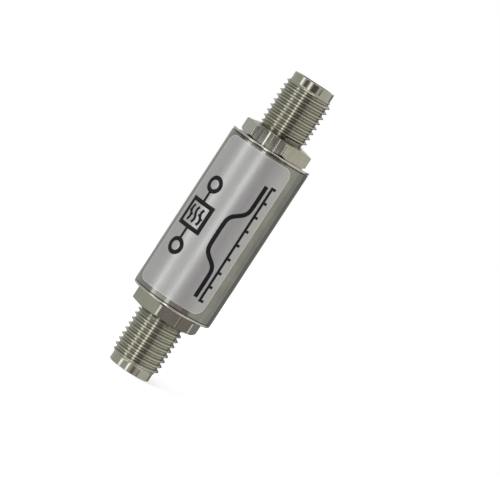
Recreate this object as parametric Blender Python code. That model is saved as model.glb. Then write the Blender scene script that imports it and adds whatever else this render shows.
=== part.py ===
"""A tubular coaxial bandpass filter: a plated round housing with a threaded coaxial jack at each end.

Metres, +Z up. The filter stands on its lower jack, with the origin at the middle of that jack's end face.
Both ends are built in an end frame of their own, with z = 0 on the end cap's outer face and +Z out of the
jack's mouth, and an empty places each one. The front of the filter, which carries the label, faces -Y.
"""

from math import ceil, cos, pi, radians, sin, sqrt, tan, tau

import bmesh
import bpy
from mathutils import Matrix

MM = 0.001
INCH = 25.4 * MM

# Clearances between pieces
fit_gap = 0.03 * MM
label_lift = 0.02 * MM
board_side_gap = 0.3 * MM

# Housing tube and the end caps pressed into it
body_diameter = 10.5 * MM
body_length = 21.8 * MM
housing_wall = 0.6 * MM
cap_rim_thickness = 0.38 * MM
cap_rim_rounding = 0.2 * MM
cap_spigot_length = 1.2 * MM
seam_width = 0.04 * MM
seam_bevel = 0.07 * MM
edge_bevel = 0.12 * MM

# Outside of each jack
jack_length = 9.25 * MM
hex_inset = 1.25 * MM
hex_height = 2.1 * MM
hex_front_land_diameter = 5.7 * MM
hex_front_chamfer_angle = radians(17)
hex_seat_chamfer_reach = 0.22 * MM
hex_seat_chamfer_angle = radians(24)
relief_diameter = 5.35 * MM
relief_length = 0.15 * MM
thread_diameter = 6.25 * MM
thread_pitch = INCH / 36
thread_depth_share = 0.55
thread_crest_share = 1 / 8
thread_flank_angle = radians(30)
thread_lead_in_slope = 1.2
pilot_diameter = 5.35 * MM
pilot_length = 1.1 * MM
cap_web = 1.39 * MM
shank_projection = 0.3 * MM

# Inside of each jack
mouth_diameter = 4.6 * MM
mouth_depth = 1.9 * MM
insulator_diameter = 4.1 * MM
contact_diameter = 1.27 * MM
contact_recess = 0.1 * MM
socket_bore = 0.95 * MM
socket_depth = 2.6 * MM
socket_slot_width = 0.2 * MM
socket_slot_depth = 2.1 * MM
tail_diameter = 0.6 * MM
tail_length = 1.6 * MM

# How far each hexagon's corner stands from the front towards +X, and how far each thread is advanced, in turns
hex_turn = {"upper": radians(16), "lower": radians(-12)}
thread_advance = {"upper": 0.165, "lower": 0.62}

# Foil label on the front of the housing
label_width = 10.1 * MM
label_lower_margin = 0.57 * MM
label_upper_margin = 0.37 * MM
label_thickness = 0.06 * MM
label_corner_radius = 1.15 * MM
label_turn = radians(-12.8)

# Circuit board and what it carries
board_thickness = 0.8 * MM
copper_thickness = 0.07 * MM
copper_edge_margin = 0.15 * MM
track_width = 1.0 * MM
track_spacing = 0.5 * MM
filter_length = 4.5 * MM
filter_width = 3.2 * MM
filter_height = 1.5 * MM
filter_overhang = 0.6 * MM
chip_length = 1.6 * MM
chip_width = 0.8 * MM
capacitor_height = 0.8 * MM
inductor_height = 1.0 * MM
chip_terminal_length = 0.3 * MM
chip_terminal_step = 0.03 * MM
capacitor_place = 3.2 * MM
inductor_place = 5.0 * MM
solder_wall = 0.18 * MM
solder_taper = 0.12 * MM
solder_crown = 0.12 * MM
solder_setback = 0.2 * MM
fillet_width = 5.0 * MM
fillet_leg = 0.5 * MM

# Facets
BODY_SIDES = 64
JACK_SIDES = 32
CONTACT_SIDES = 24
CORNER_STEPS = 4
SHARP_ANGLE = radians(30)

# Worked out from the sizes above
body_radius = body_diameter / 2
bore_radius = body_radius - housing_wall
cap_thickness = cap_rim_thickness + cap_spigot_length
spigot_radius = bore_radius - fit_gap
cap_hole_radius = spigot_radius - cap_web
shank_radius = cap_hole_radius - fit_gap
shank_length = cap_thickness + shank_projection
hex_flat_radius = body_radius - hex_inset
hex_corner_radius = hex_flat_radius / cos(pi / 6)
lower_face = jack_length
upper_face = jack_length + body_length
middle = (lower_face + upper_face) / 2
lower_seam = lower_face + cap_rim_thickness
upper_seam = upper_face - cap_rim_thickness
thread_radius = thread_diameter / 2
root_radius = thread_radius - thread_depth_share * thread_pitch
thread_start = hex_height + relief_length
thread_end = jack_length - pilot_length
reference_plane = jack_length - mouth_depth
insulator_radius = insulator_diameter / 2
contact_radius = contact_diameter / 2
tail_radius = tail_diameter / 2
track_front = tail_radius + fit_gap
board_front = track_front + copper_thickness + fit_gap
board_back = board_front + board_thickness
ground_plane_back = board_back + fit_gap + copper_thickness
board_half_width = sqrt(bore_radius**2 - ground_plane_back**2) - board_side_gap
board_half_length = body_length / 2 - shank_length - fit_gap


def clear_scene():
    for piece in list(bpy.data.objects):
        bpy.data.objects.remove(piece, do_unlink=True)


def finish_of(name, colour, roughness, metallic):
    """A Principled material in one plain colour."""
    finish = bpy.data.materials.new(name)
    finish.use_nodes = True
    shader = finish.node_tree.nodes["Principled BSDF"]
    shader.inputs["Base Color"].default_value = (*colour, 1)
    shader.inputs["Roughness"].default_value = roughness
    shader.inputs["Metallic"].default_value = metallic
    return finish


def end_frame(name, height, turned_over):
    """An empty on an end cap's outer face, with +Z out of that end's jack."""
    frame = bpy.data.objects.new(name, None)
    frame.location = (0, 0, height)
    frame.rotation_euler = (pi if turned_over else 0, 0, 0)
    bpy.context.collection.objects.link(frame)
    return frame


def finished(name, shape, finish, carrier=None):
    """The bmesh as a named object, carried by an end frame or standing in the world."""
    bmesh.ops.recalc_face_normals(shape, faces=shape.faces)
    mesh = bpy.data.meshes.new(name)
    shape.to_mesh(mesh)
    shape.free()
    mesh.materials.append(finish)
    mesh.shade_smooth()
    mesh.set_sharp_from_angle(angle=SHARP_ANGLE)
    piece = bpy.data.objects.new(name, mesh)
    piece.parent = carrier
    bpy.context.collection.objects.link(piece)
    return piece


def as_helper(piece):
    """Marks a cutter or a joined shape, which isn't a piece of its own."""
    piece.hide_render = True
    piece.display_type = "WIRE"
    return piece


def combine(piece, helper, operation):
    """Cuts, joins or meets a piece with a helper through a Boolean modifier."""
    step = piece.modifiers.new(operation.title(), "BOOLEAN")
    step.operation = operation
    step.solver = "EXACT"
    step.object = as_helper(helper)


def arc(centre, radius, start, end, steps=CORNER_STEPS):
    """Points of an arc about a centre, from one angle to another."""
    angles = [start + (end - start) * step / steps for step in range(steps + 1)]
    return [(centre[0] + radius * cos(angle), centre[1] + radius * sin(angle)) for angle in angles]


def turned_shape(outline, sides):
    """A closed solid turned about Z from (radius, height) points: a ring, or an outline from axis to axis."""
    shape = bmesh.new()
    points = [shape.verts.new((radius, 0, height)) for radius, height in outline]
    ends = list(zip(points, points[1:]))
    if min(radius for radius, height in outline) > 0:
        ends.append((points[-1], points[0]))
    edges = [shape.edges.new(pair) for pair in ends]
    bmesh.ops.spin(
        shape, geom=points + edges, cent=(0, 0, 0), axis=(0, 0, 1), angle=tau, steps=sides, use_merge=True
    )
    bmesh.ops.remove_doubles(shape, verts=shape.verts, dist=fit_gap / 1000)
    return shape


def prism_shape(outline, low, high, placing=Matrix.Identity(4)):
    """An outline in the XY plane, extruded from one height to another and then placed."""
    shape = bmesh.new()
    face = shape.faces.new([shape.verts.new((x, y, low)) for x, y in outline])
    grown = bmesh.ops.extrude_face_region(shape, geom=[face])["geom"]
    lifted = [element for element in grown if isinstance(element, bmesh.types.BMVert)]
    bmesh.ops.translate(shape, verts=lifted, vec=(0, 0, high - low))
    bmesh.ops.transform(shape, matrix=placing, verts=shape.verts)
    return shape


def box_shape(low, high):
    """A box between two corners."""
    outline = [(low[0], low[1]), (high[0], low[1]), (high[0], high[1]), (low[0], high[1])]
    return prism_shape(outline, low[2], high[2])


def thread_rows():
    """Heights along one pitch where the thread's section bends, each with its radius."""
    flank = (thread_radius - root_radius) * tan(thread_flank_angle)
    crest = thread_crest_share * thread_pitch
    return [(0, root_radius), (flank, thread_radius), (flank + crest, thread_radius),
            (2 * flank + crest, root_radius)]


def thread_point(turns, height, radius):
    """A point of the helix, held between the thread's ends, where it runs out to the root."""
    lead_in = root_radius + thread_lead_in_slope * (thread_end - height)
    if not thread_start < height < thread_end:
        radius = root_radius
    height = min(max(height, thread_start), thread_end)
    radius = max(min(radius, lead_in), root_radius)
    return (radius * cos(tau * turns), radius * sin(tau * turns), height)


def add_thread(shape, advance):
    """The right-hand thread's surface, and its two end rings of vertices."""
    rows = thread_rows()
    pitches = ceil((thread_end - thread_start) / thread_pitch) + 3
    columns = []
    for side in range(JACK_SIDES):
        turns = side / JACK_SIDES
        lowest = thread_start + (turns + advance - 2) * thread_pitch
        column = []
        known = {}
        for pitch_number in range(pitches):
            for rise, radius in rows:
                point = thread_point(turns, lowest + pitch_number * thread_pitch + rise, radius)
                if point not in known:
                    known[point] = shape.verts.new(point)
                column.append(known[point])
        columns.append(column)
    last = pitches * len(rows) - 1
    for side, column in enumerate(columns):
        next_column = columns[(side + 1) % JACK_SIDES]
        jump = len(rows) if side == JACK_SIDES - 1 else 0
        for row in range(last):
            first, second = min(row + jump, last), min(row + 1 + jump, last)
            corners = dict.fromkeys((column[row], next_column[first], next_column[second], column[row + 1]))
            if len(corners) > 2:
                shape.faces.new(list(corners))
    return [column[0] for column in columns], [column[-1] for column in columns]


def add_turned_wall(shape, first_ring, outline, last_ring):
    """Rings of quads from one ring of vertices, along (radius, height) points, to another ring."""
    rings = [first_ring]
    for radius, height in outline:
        rings.append([
            shape.verts.new((radius * cos(tau * side / JACK_SIDES), radius * sin(tau * side / JACK_SIDES), height))
            for side in range(JACK_SIDES)
        ])
    rings.append(last_ring)
    for ring, next_ring in zip(rings, rings[1:]):
        for side in range(JACK_SIDES):
            following = (side + 1) % JACK_SIDES
            shape.faces.new((ring[side], ring[following], next_ring[following], next_ring[side]))


def barrel_shape(advance):
    """The jack's turned and threaded barrel, with its shank, stepped bore and pilot."""
    pilot_radius = pilot_diameter / 2
    mouth_radius = mouth_diameter / 2
    bore = insulator_radius + fit_gap
    hex_middle = hex_height / 2
    shape = bmesh.new()
    start_ring, end_ring = add_thread(shape, advance)
    outline = [
        (pilot_radius, thread_end),
        (pilot_radius, jack_length - edge_bevel),
        (pilot_radius - edge_bevel, jack_length),
        (mouth_radius, jack_length),
        (mouth_radius, reference_plane),
        (bore, reference_plane),
        (bore, -shank_length),
        (shank_radius - edge_bevel, -shank_length),
        (shank_radius, edge_bevel - shank_length),
        (shank_radius, hex_middle),
        (relief_diameter / 2, hex_middle),
        (relief_diameter / 2, thread_start),
    ]
    add_turned_wall(shape, end_ring, outline, start_ring)
    return shape


def hex_shapes(corner_angle):
    """The hexagonal prism, and the turned ring that chamfers its corners and bores it."""
    outer = hex_corner_radius + edge_bevel
    bored = (insulator_radius + relief_diameter / 2) / 2
    seat = hex_flat_radius + hex_seat_chamfer_reach
    front = hex_front_land_diameter / 2
    seat_drop = (outer - seat) * tan(hex_seat_chamfer_angle)
    front_drop = (outer - front) * tan(hex_front_chamfer_angle)
    corners = [
        (hex_corner_radius * cos(angle), hex_corner_radius * sin(angle))
        for angle in (corner_angle + side * pi / 3 for side in range(6))
    ]
    prism = prism_shape(corners, fit_gap / 2, hex_height + relief_length)
    ring = turned_shape(
        [(bored, fit_gap), (seat, fit_gap), (outer, fit_gap + seat_drop), (outer, hex_height - front_drop),
         (front, hex_height), (bored, hex_height)],
        BODY_SIDES,
    )
    return prism, ring


def connector_shell(end, frame, plating):
    """A jack's metal body: hexagon, thread and bored barrel in one turned and milled piece."""
    direction = -1 if end == "lower" else 1
    corner_angle = direction * (hex_turn[end] - pi / 2)
    prism, ring = hex_shapes(corner_angle)
    hexagon = finished(end + "_hexagon", prism, plating, frame)
    combine(hexagon, finished(end + "_hexagon_ring", ring, plating, frame), "INTERSECT")
    shell = finished(end + "_connector_shell", barrel_shape(thread_advance[end]), plating, frame)
    combine(shell, hexagon, "UNION")


def end_cap(end, frame, plating):
    """A stepped disc: its rim covers the tube's end, its spigot plugs the bore, its hole holds the shank."""
    rounded = arc((body_radius - cap_rim_rounding, -cap_rim_rounding), cap_rim_rounding, pi / 2, 0)
    outline = [
        (cap_hole_radius, 0),
        *rounded,
        (body_radius, seam_bevel - cap_rim_thickness),
        (body_radius - seam_bevel, -cap_rim_thickness),
        (spigot_radius, -cap_rim_thickness),
        (spigot_radius, edge_bevel - cap_thickness),
        (spigot_radius - edge_bevel, -cap_thickness),
        (cap_hole_radius, -cap_thickness),
    ]
    finished(end + "_end_cap", turned_shape(outline, BODY_SIDES), plating, frame)


def insulator(end, frame, plastic):
    """The white sleeve that holds the centre contact in the shell."""
    hole = contact_radius + fit_gap
    outline = [
        (hole, -shank_length),
        (insulator_radius, -shank_length),
        (insulator_radius, reference_plane - edge_bevel),
        (insulator_radius - edge_bevel, reference_plane),
        (hole, reference_plane),
    ]
    finished(end + "_insulator", turned_shape(outline, JACK_SIDES), plastic, frame)


def centre_contact(end, frame, gold):
    """A socket with four spring fingers at the mouth, and a solder tail at the board."""
    socket = socket_bore / 2
    tip = reference_plane - contact_recess
    outline = [
        (0, -shank_length - tail_length),
        (tail_radius, -shank_length - tail_length),
        (tail_radius, -shank_length),
        (contact_radius, -shank_length),
        (contact_radius, tip),
        (socket, tip),
        (socket, tip - socket_depth),
        (0, tip - socket_depth - socket),
    ]
    contact = finished(end + "_centre_contact", turned_shape(outline, CONTACT_SIDES), gold, frame)
    reach = contact_diameter
    half_slot = socket_slot_width / 2
    slot_floor = tip - socket_slot_depth
    for number, (across, along) in enumerate(((reach, half_slot), (half_slot, reach))):
        slot = box_shape((-across, -along, slot_floor), (across, along, tip + reach))
        cutter = finished(f"{end}_slot_cutter_{number}", slot, gold, frame)
        combine(contact, cutter, "DIFFERENCE")


def housing_tube(plating):
    """The plain round sleeve between the two end caps."""
    low, high = lower_seam + seam_width, upper_seam - seam_width
    outline = [
        (bore_radius, low),
        (body_radius - seam_bevel, low),
        (body_radius, low + seam_bevel),
        (body_radius, high - seam_bevel),
        (body_radius - seam_bevel, high),
        (bore_radius, high),
    ]
    finished("housing_tube", turned_shape(outline, BODY_SIDES), plating)


def label(foil):
    """A thin plate with rounded corners, bent round the front of the housing."""
    inner = body_radius + label_lift
    low, high = lower_seam + label_lower_margin, upper_seam - label_upper_margin
    straight = label_width / 2 - label_corner_radius
    corner = [label_corner_radius * cos(pi / 2 - pi / 2 * step / CORNER_STEPS) for step in range(CORNER_STEPS + 1)]
    facets = ceil(2 * straight / body_radius / (tau / BODY_SIDES))
    flat = [straight * (2 * number / facets - 1) for number in range(facets + 1)]
    places = [-straight - offset for offset in reversed(corner[1:])] + flat + [
        straight + offset for offset in corner[1:]]
    shape = bmesh.new()
    sections = []
    for place in places:
        angle = label_turn - pi / 2 + place / body_radius
        past = max(abs(place) - straight, 0)
        trim = label_corner_radius - sqrt(max(label_corner_radius**2 - past**2, 0))
        bottom, top = low + trim, high - trim
        section = [
            shape.verts.new((radius * cos(angle), radius * sin(angle), height))
            for radius, height in ((inner, bottom), (inner + label_thickness, bottom),
                                   (inner + label_thickness, top), (inner, top))
        ]
        sections.append(section)
    for section, following in zip(sections, sections[1:]):
        for side in range(4):
            after = (side + 1) % 4
            shape.faces.new((section[side], section[after], following[after], following[side]))
    shape.faces.new(sections[0])
    shape.faces.new(sections[-1])
    finished("label", shape, foil)


def board(laminate, copper):
    """The board, its ground plane behind, and the copper on its front: two tracks between two pours."""
    low, high = middle - board_half_length, middle + board_half_length
    copper_low, copper_high = low + copper_edge_margin, high - copper_edge_margin
    side = board_half_width - copper_edge_margin
    half_track = track_width / 2
    finished(
        "filter_board",
        box_shape((-board_half_width, board_front, low), (board_half_width, board_back, high)),
        laminate,
    )
    finished(
        "ground_plane",
        box_shape((-side, board_back + fit_gap, copper_low), (side, ground_plane_back, copper_high)),
        copper,
    )
    copper_back = track_front + copper_thickness
    for name, left, right in (
        ("left_ground_pour", -side, -half_track - track_spacing),
        ("right_ground_pour", half_track + track_spacing, side),
    ):
        pour = box_shape((left, track_front, copper_low), (right, copper_back, copper_high))
        finished(name, pour, copper)
    track_end = filter_length / 2 - filter_overhang
    for name, start, end in (
        ("lower_track", copper_low, middle - track_end),
        ("upper_track", middle + track_end, copper_high),
    ):
        track = box_shape((-half_track, track_front, start), (half_track, copper_back, end))
        finished(name, track, copper)


def ceramic_filter(ceramic):
    """The filter element: one fired block over the ends of both tracks."""
    half_width, half_length = filter_width / 2, filter_length / 2
    back = track_front - fit_gap
    block = box_shape((-half_width, back - filter_height, middle - half_length),
                      (half_width, back, middle + half_length))
    bmesh.ops.bevel(block, geom=block.edges[:], offset=edge_bevel, segments=1, affect="EDGES")
    finished("ceramic_filter", block, ceramic)


def chip(name, side, height, along, finish):
    """A small block with a wider terminal at each end, from its track across to the ground pour."""
    reach = chip_length / 2
    inner = reach - chip_terminal_length
    centre = side * (track_width + track_spacing) / 2
    back = track_front - fit_gap
    shape = bmesh.new()
    sections = []
    for place, step in ((-reach, 0), (-inner, 0), (-inner, 1), (inner, 1), (inner, 0), (reach, 0)):
        shrink = step * chip_terminal_step
        x = centre + place
        low, high = along - chip_width / 2 + shrink, along + chip_width / 2 - shrink
        front = back - height + shrink
        sections.append([shape.verts.new(corner) for corner in (
            (x, back - shrink, low), (x, front, low), (x, front, high), (x, back - shrink, high))])
    for section, following in zip(sections, sections[1:]):
        for edge in range(4):
            after = (edge + 1) % 4
            shape.faces.new((section[edge], section[after], following[after], following[edge]))
    shape.faces.new(sections[0])
    shape.faces.new(sections[-1])
    finished(name, shape, finish)


def contact_solder(end, direction, solder):
    """The bead that wraps the contact's tail and stands on the track."""
    channel = tail_radius + fit_gap
    foot = track_front - fit_gap
    half_foot = channel + solder_wall
    half_crown = half_foot - solder_taper
    front = -tail_radius - fit_gap - solder_crown
    outline = [
        (-half_foot, foot), (-half_crown, front), (half_crown, front), (half_foot, foot), (channel, foot),
        *arc((0, 0), channel, 0, -pi, JACK_SIDES // 2),
        (-channel, foot),
    ]
    near = board_half_length - copper_edge_margin
    far = board_half_length - tail_length + solder_setback
    low, high = sorted((middle + direction * near, middle + direction * far))
    finished(end + "_contact_solder", prism_shape(outline, low, high), solder)


def ground_solder(end, direction, solder):
    """The fillet between the board's ground plane and the end of the shank."""
    corner_y = ground_plane_back + fit_gap
    corner_z = board_half_length - fit_gap
    outline = [(corner_y, corner_z), (corner_y + fillet_leg, corner_z), (corner_y, corner_z - fillet_leg)]
    outline = [(y, middle + direction * z) for y, z in outline]
    sideways = Matrix(((0, 0, 1, 0), (1, 0, 0, 0), (0, 1, 0, 0), (0, 0, 0, 1)))
    fillet = prism_shape(outline, -fillet_width / 2, fillet_width / 2, sideways)
    finished(end + "_ground_solder", fillet, solder)


def main():
    clear_scene()
    plating = finish_of("nickel plating", (0.50, 0.49, 0.43), 0.22, 1)
    foil = finish_of("silver foil", (0.62, 0.62, 0.60), 0.4, 0.3)
    plastic = finish_of("white insulator", (0.85, 0.85, 0.82), 0.5, 0)
    gold = finish_of("gold plating", (0.85, 0.62, 0.25), 0.25, 1)
    laminate = finish_of("board laminate", (0.10, 0.28, 0.14), 0.5, 0)
    copper = finish_of("tinned copper", (0.72, 0.55, 0.38), 0.35, 1)
    ceramic = finish_of("fired ceramic", (0.72, 0.70, 0.66), 0.6, 0)
    ferrite = finish_of("ferrite", (0.09, 0.09, 0.10), 0.6, 0)
    solder = finish_of("solder", (0.62, 0.62, 0.64), 0.35, 1)

    for end, height, turned_over in (("lower", lower_face, True), ("upper", upper_face, False)):
        direction = -1 if turned_over else 1
        frame = end_frame(end + "_end", height, turned_over)
        end_cap(end, frame, plating)
        connector_shell(end, frame, plating)
        insulator(end, frame, plastic)
        centre_contact(end, frame, gold)
        contact_solder(end, direction, solder)
        ground_solder(end, direction, solder)
        capacitor_at = middle + direction * (board_half_length - capacitor_place)
        inductor_at = middle + direction * (board_half_length - inductor_place)
        chip(end + "_capacitor", -1, capacitor_height, capacitor_at, ceramic)
        chip(end + "_inductor", 1, inductor_height, inductor_at, ferrite)

    housing_tube(plating)
    label(foil)
    board(laminate, copper)
    ceramic_filter(ceramic)


main()
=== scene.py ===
"""Looks of a tubular coaxial bandpass filter, dressed round its solid model.

Metres, +Z up. The filter stands on its lower jack, and its labelled front faces -Y. Each end is modelled in
an end frame, with z = 0 on the end cap's outer face and +Z out of the jack's mouth, and then put in place.
"""

from math import ceil, cos, exp, pi, radians, sin, tan, tau

import bpy
from mathutils import Matrix, Vector


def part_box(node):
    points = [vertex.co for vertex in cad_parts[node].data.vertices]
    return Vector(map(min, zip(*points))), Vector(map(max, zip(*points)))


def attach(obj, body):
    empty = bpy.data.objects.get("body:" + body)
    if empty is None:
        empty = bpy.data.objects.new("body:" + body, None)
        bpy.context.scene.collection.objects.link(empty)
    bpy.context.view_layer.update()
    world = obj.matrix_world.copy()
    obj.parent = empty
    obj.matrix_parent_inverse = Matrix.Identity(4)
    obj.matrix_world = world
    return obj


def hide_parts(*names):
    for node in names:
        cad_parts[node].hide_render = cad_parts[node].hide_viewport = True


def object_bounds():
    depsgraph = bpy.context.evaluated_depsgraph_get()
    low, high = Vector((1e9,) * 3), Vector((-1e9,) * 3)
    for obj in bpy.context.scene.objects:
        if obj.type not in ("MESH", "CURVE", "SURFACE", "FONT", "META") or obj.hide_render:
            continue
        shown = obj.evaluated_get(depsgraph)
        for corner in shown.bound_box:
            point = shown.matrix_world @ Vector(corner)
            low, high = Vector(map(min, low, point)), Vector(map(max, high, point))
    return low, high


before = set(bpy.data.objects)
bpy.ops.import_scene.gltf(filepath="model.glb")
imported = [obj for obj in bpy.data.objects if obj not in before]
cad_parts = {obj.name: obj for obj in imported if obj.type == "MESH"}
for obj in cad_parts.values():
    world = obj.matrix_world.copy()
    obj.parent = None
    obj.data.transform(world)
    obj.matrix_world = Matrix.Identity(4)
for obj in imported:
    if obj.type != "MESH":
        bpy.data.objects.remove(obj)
cad_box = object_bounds()

MM = 0.001

# How much further out than in the solids the photograph shows the seams, and the label's upper edge
seam_shift = 0.07 * MM
label_overlength = 0.1 * MM

# Read from the solid model
body_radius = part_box("housing_tube")[1].x
tube_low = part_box("housing_tube")[0].z - seam_shift
tube_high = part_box("housing_tube")[1].z + seam_shift
lower_face, upper_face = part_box("lower_end_cap")[0].z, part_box("upper_end_cap")[1].z
cap_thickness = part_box("lower_end_cap")[1].z - lower_face
shank_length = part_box("lower_connector_shell")[1].z - lower_face
jack_length = lower_face
label_low, label_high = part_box("label")[0].z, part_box("label")[1].z + label_overlength
object_middle = (cad_box[0].z + cad_box[1].z) / 2

# Clearances, as between the solids
fit_gap = 0.03 * MM
label_lift = 0.02 * MM

# Housing tube and end caps
housing_wall = 0.6 * MM
cap_rim_thickness = 0.38 * MM - seam_shift
cap_rim_rounding = 0.2 * MM
seam_bevel = 0.07 * MM
cap_web = 1.39 * MM

# Outside of each jack
hex_flat_radius = 4.0 * MM
hex_height = 2.1 * MM
hex_front_land_radius = 2.85 * MM
hex_front_chamfer_angle = radians(17)
hex_seat_chamfer_radius = 4.2 * MM
hex_seat_chamfer_angle = radians(26)
hex_corner_reach = 0.2 * MM
hex_shoulder_rounding = 0.22 * MM
hex_edge_rounding = 0.09 * MM
relief_radius = 2.675 * MM
relief_length = 0.15 * MM
thread_radius = 3.125 * MM
thread_pitch = 25.4 * MM / 36
thread_depth = 0.55 * thread_pitch
thread_crest = thread_pitch / 8
thread_flank_slope = tan(pi / 6)
thread_lead_in_slope = 1.2
pilot_radius = 2.675 * MM
pilot_length = 1.1 * MM
pilot_rounding = 0.09 * MM
pilot_fillet = 0.16 * MM

# Inside of each jack
mouth_radius = 2.3 * MM
mouth_depth = 1.9 * MM
insulator_radius = 2.05 * MM
contact_radius = 0.635 * MM
contact_recess = 0.1 * MM
socket_radius = 0.475 * MM
socket_depth = 2.6 * MM
slot_width = 0.2 * MM
slot_depth = 2.1 * MM
tail_radius = 0.3 * MM
tail_length = 1.6 * MM
small_edge = 0.04 * MM
edge_bevel = 0.12 * MM

# How far each hexagon's corner stands from the front towards +X, and how many turns each thread is advanced
hex_turn = {"upper": radians(16), "lower": radians(-12)}
thread_advance = {"upper": 0.155, "lower": 0.295}

# Label film and the marks printed on it; a place across the label is an arc length from the front towards +X
label_width = 10.1 * MM
label_thickness = 0.06 * MM
label_corner_radius = 1.3 * MM
label_turn = radians(-12.8)
label_step = 0.16 * MM
ink_lift = 0.002 * MM
ink_thickness = 0.01 * MM
bold_stroke = 0.52 * MM
fine_stroke = 0.34 * MM

# Facets
BODY_SIDES = 192
JACK_SIDES = 128
THREAD_STEPS = 96
CONTACT_SIDES = 64
SHARP_ANGLE = radians(28)
BEVEL_ANGLE = radians(25)
MERGE = 0.0005 * MM

# Worked out from the sizes above
bore_radius = body_radius - housing_wall
spigot_radius = bore_radius - fit_gap
cap_hole_radius = spigot_radius - cap_web
shank_radius = cap_hole_radius - fit_gap
thread_start = hex_height + relief_length
thread_end = jack_length - pilot_length
root_radius = thread_radius - thread_depth
reference_plane = jack_length - mouth_depth
label_surface = body_radius + label_lift + label_thickness
label_centre = label_turn * label_surface


# Modelling helpers

def take_up(piece):
    """Makes a piece the only one selected and the active one."""
    bpy.ops.object.select_all(action="DESELECT")
    piece.select_set(True)
    bpy.context.view_layer.objects.active = piece


def settle():
    """Puts the place, turn and scale of the piece that is taken up into its mesh."""
    bpy.ops.object.transform_apply(location=True, rotation=True, scale=True)


def open_mesh(selection="SELECT"):
    """Opens the active piece's mesh for editing, with all of it selected, or none."""
    bpy.ops.object.mode_set(mode="EDIT")
    bpy.ops.mesh.select_all(action=selection)


def close_mesh():
    """Ends the editing of a mesh."""
    bpy.ops.object.mode_set(mode="OBJECT")


def named(name):
    """The primitive that was just added, with its place put into its mesh."""
    piece = bpy.context.object
    piece.name = name
    piece.data.name = name
    settle()
    return piece


def tidy_mesh(piece):
    """Merges doubles and turns every face outwards."""
    take_up(piece)
    open_mesh()
    bpy.ops.mesh.remove_doubles(threshold=MERGE)
    bpy.ops.mesh.normals_make_consistent(inside=False)
    close_mesh()
    return piece


def apply_modifier(piece, kind, **settings):
    """Adds a modifier with these settings and applies it."""
    take_up(piece)
    step = piece.modifiers.new(kind.title(), kind)
    for setting, value in settings.items():
        setattr(step, setting, value)
    bpy.ops.object.modifier_apply(modifier=step.name)
    return piece


def combine(piece, tool, operation):
    """Cuts a piece with a tool, or joins or meets the two, and uses the tool up."""
    apply_modifier(piece, "BOOLEAN", operation=operation, solver="EXACT", object=tool)
    bpy.data.objects.remove(tool, do_unlink=True)
    return piece


def round_edges(piece, width, segments):
    """Rounds the sharp edges of a whole piece."""
    return apply_modifier(
        piece, "BEVEL", width=width, segments=segments, limit_method="ANGLE", angle_limit=BEVEL_ANGLE
    )


def rescale(piece, share):
    """Makes a piece larger or smaller about the origin."""
    take_up(piece)
    piece.scale = (share, share, share)
    settle()


def smooth(piece):
    """Smooth shading with sharp edges kept, in which the normals lean towards those of the larger faces.

    The modifier passes over corners with less than a millionth of a square unit round them, so it works at
    1000:1.
    """
    take_up(piece)
    bpy.ops.object.shade_smooth_by_angle(angle=SHARP_ANGLE)
    rescale(piece, 1 / MM)
    apply_modifier(piece, "WEIGHTED_NORMAL", mode="FACE_AREA", keep_sharp=True)
    rescale(piece, MM)


def arc(centre, radius, start, end, steps=6):
    """Points of an arc about a centre, from one angle to another."""
    angles = [start + (end - start) * step / steps for step in range(steps + 1)]
    return [(centre[0] + radius * cos(angle), centre[1] + radius * sin(angle)) for angle in angles]


def turned(name, outline, sides, solid=False):
    """Turned work, pulled up ring by ring through (radius, height) points: a closed ring, or a solid bar."""
    radius, height = outline[0]
    bpy.ops.mesh.primitive_circle_add(
        vertices=sides, radius=radius, fill_type="NGON" if solid else "NOTHING", location=(0, 0, height)
    )
    piece = named(name)
    open_mesh()
    stations = outline[1:] if solid else outline[1:] + outline[:1]
    for next_radius, next_height in stations:
        if solid:
            bpy.ops.mesh.extrude_region_move()
        else:
            bpy.ops.mesh.extrude_edges_move()
        share = next_radius / radius
        bpy.ops.transform.resize(value=(share, share, 1), center_override=(0, 0, height))
        bpy.ops.transform.translate(value=(0, 0, next_height - height))
        radius, height = next_radius, next_height
    close_mesh()
    return tidy_mesh(piece)


def drawn_line(name, points):
    """A chain of edges drawn point by point."""
    bpy.ops.mesh.primitive_plane_add(size=MM, location=points[0])
    piece = named(name)
    open_mesh()
    bpy.ops.mesh.merge(type="CENTER")
    for start, end in zip(points, points[1:]):
        step = Vector(end) - Vector(start)
        bpy.ops.mesh.extrude_vertices_move(TRANSFORM_OT_translate={"value": step})
    close_mesh()
    return piece


def cut_flat(piece, height, keep_above):
    """Cuts a piece off at a height and closes the cut."""
    take_up(piece)
    open_mesh()
    bpy.ops.mesh.bisect(
        plane_co=(0, 0, height), plane_no=(0, 0, 1), use_fill=True,
        clear_inner=keep_above, clear_outer=not keep_above, threshold=MERGE,
    )
    close_mesh()


def put_in_place(piece, end):
    """Moves a piece from its end frame to its end of the housing."""
    take_up(piece)
    piece.rotation_euler.x = pi if end == "lower" else 0
    piece.location.z = lower_face if end == "lower" else upper_face
    settle()


def finish_piece(piece, nodes, slot, *finishes):
    """Gives a finished piece its materials and its body, and hides the solids it stands for; its slot is not
    used.
    """
    piece.data.materials.clear()
    for finish in finishes:
        piece.data.materials.append(finish)
    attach(piece, "root")
    if nodes:
        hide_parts(*nodes)


# The jacks

def thread_profile():
    """One pitch of the thread as (radius, height) points, from root to root about a crest at zero."""
    crest_rounding = thread_crest / 2 / thread_flank_slope
    root_flat = thread_pitch - thread_crest - 2 * thread_depth * thread_flank_slope
    root_rounding = root_flat / 2 / thread_flank_slope
    half = thread_pitch / 2
    below = arc((root_radius + root_rounding, -half), root_rounding, pi, 2 * pi / 3, 4)
    crest = arc((thread_radius - crest_rounding, 0), crest_rounding, -pi / 3, pi / 3, 8)
    above = arc((root_radius + root_rounding, half), root_rounding, -2 * pi / 3, -pi, 4)
    return below + crest + above


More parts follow.
